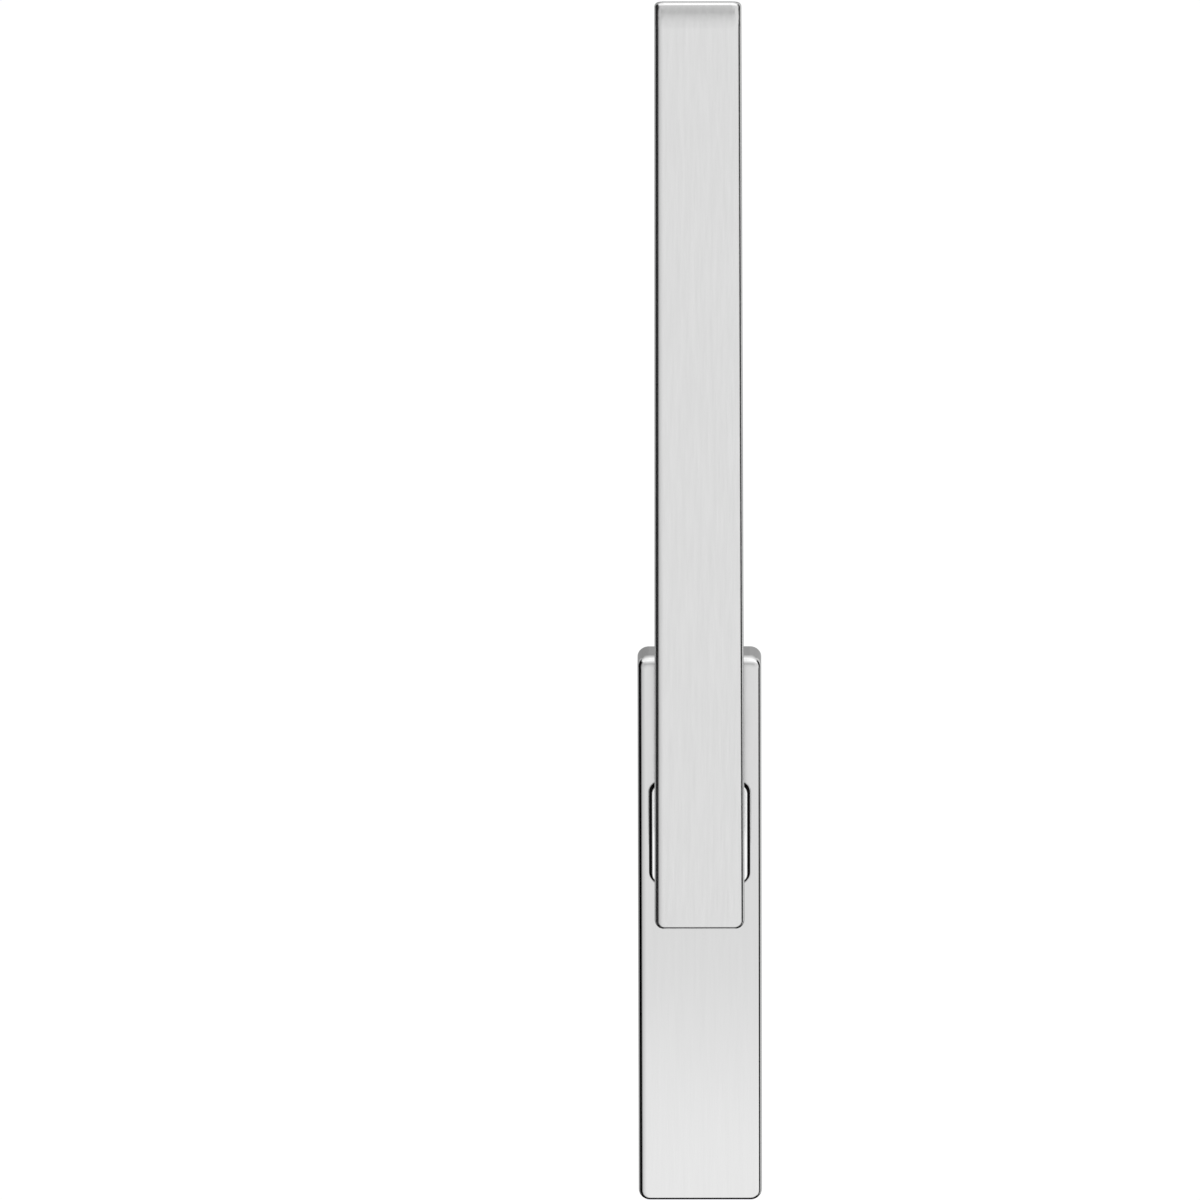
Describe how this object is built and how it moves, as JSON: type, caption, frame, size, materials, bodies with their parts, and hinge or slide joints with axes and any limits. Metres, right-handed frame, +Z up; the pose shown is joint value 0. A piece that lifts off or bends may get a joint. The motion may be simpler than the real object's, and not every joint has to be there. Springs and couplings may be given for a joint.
{
  "type": "door pull handle",
  "caption": "Long flat lever handle upright on a long rounded backplate; it turns on a square spindle to work a sliding door, then serves as its pull.",
  "frame": {"origin": "where the spindle's axis meets the door's face, midway between the fixing screws", "axes": "+Z up along the lever at rest, +Y into the door along the spindle, -Y towards the room, +X to the right seen from the room"},
  "size_m": [0.0414, 0.1078, 0.4699],
  "materials": {
    "satin_steel": "satin brushed along its length",
    "polished_steel": "polished",
    "cast_alloy": "as cast",
    "plated_steel": "bright zinc plate",
    "spring_steel": "oiled dark",
    "black_steel": "black oxide",
    "black_plastic": "fine matt",
    "foam_rubber": "closed-cell foam"
  },
  "bodies": {
    "mounting": {"base_plate": "cast_alloy", "gasket": "foam_rubber", "cover_plate": "satin_steel", "neck_collar": "polished_steel", "slide_ring": "black_plastic", "bearing_bush": "black_plastic", "fixing_screw_upper": "plated_steel", "fixing_screw_lower": "plated_steel", "screw_washer_upper": "plated_steel", "screw_washer_lower": "plated_steel", "cover_clip_upper_left": "spring_steel", "cover_clip_upper_right": "spring_steel", "cover_clip_lower_left": "spring_steel", "cover_clip_lower_right": "spring_steel"},
    "lever": {"lever": "satin_steel", "spindle": "plated_steel", "grub_screw": "black_steel", "stop_washer": "spring_steel", "spring_washer": "spring_steel", "retaining_ring": "spring_steel"}
  },
  "joints": [
    {"name": "lever_turn", "type": "hinge", "parent": "mounting", "child": "lever", "pos_m": [0, 0, 0], "axis": [0, 1, 0], "range_deg": [0, 180]}
  ]
}
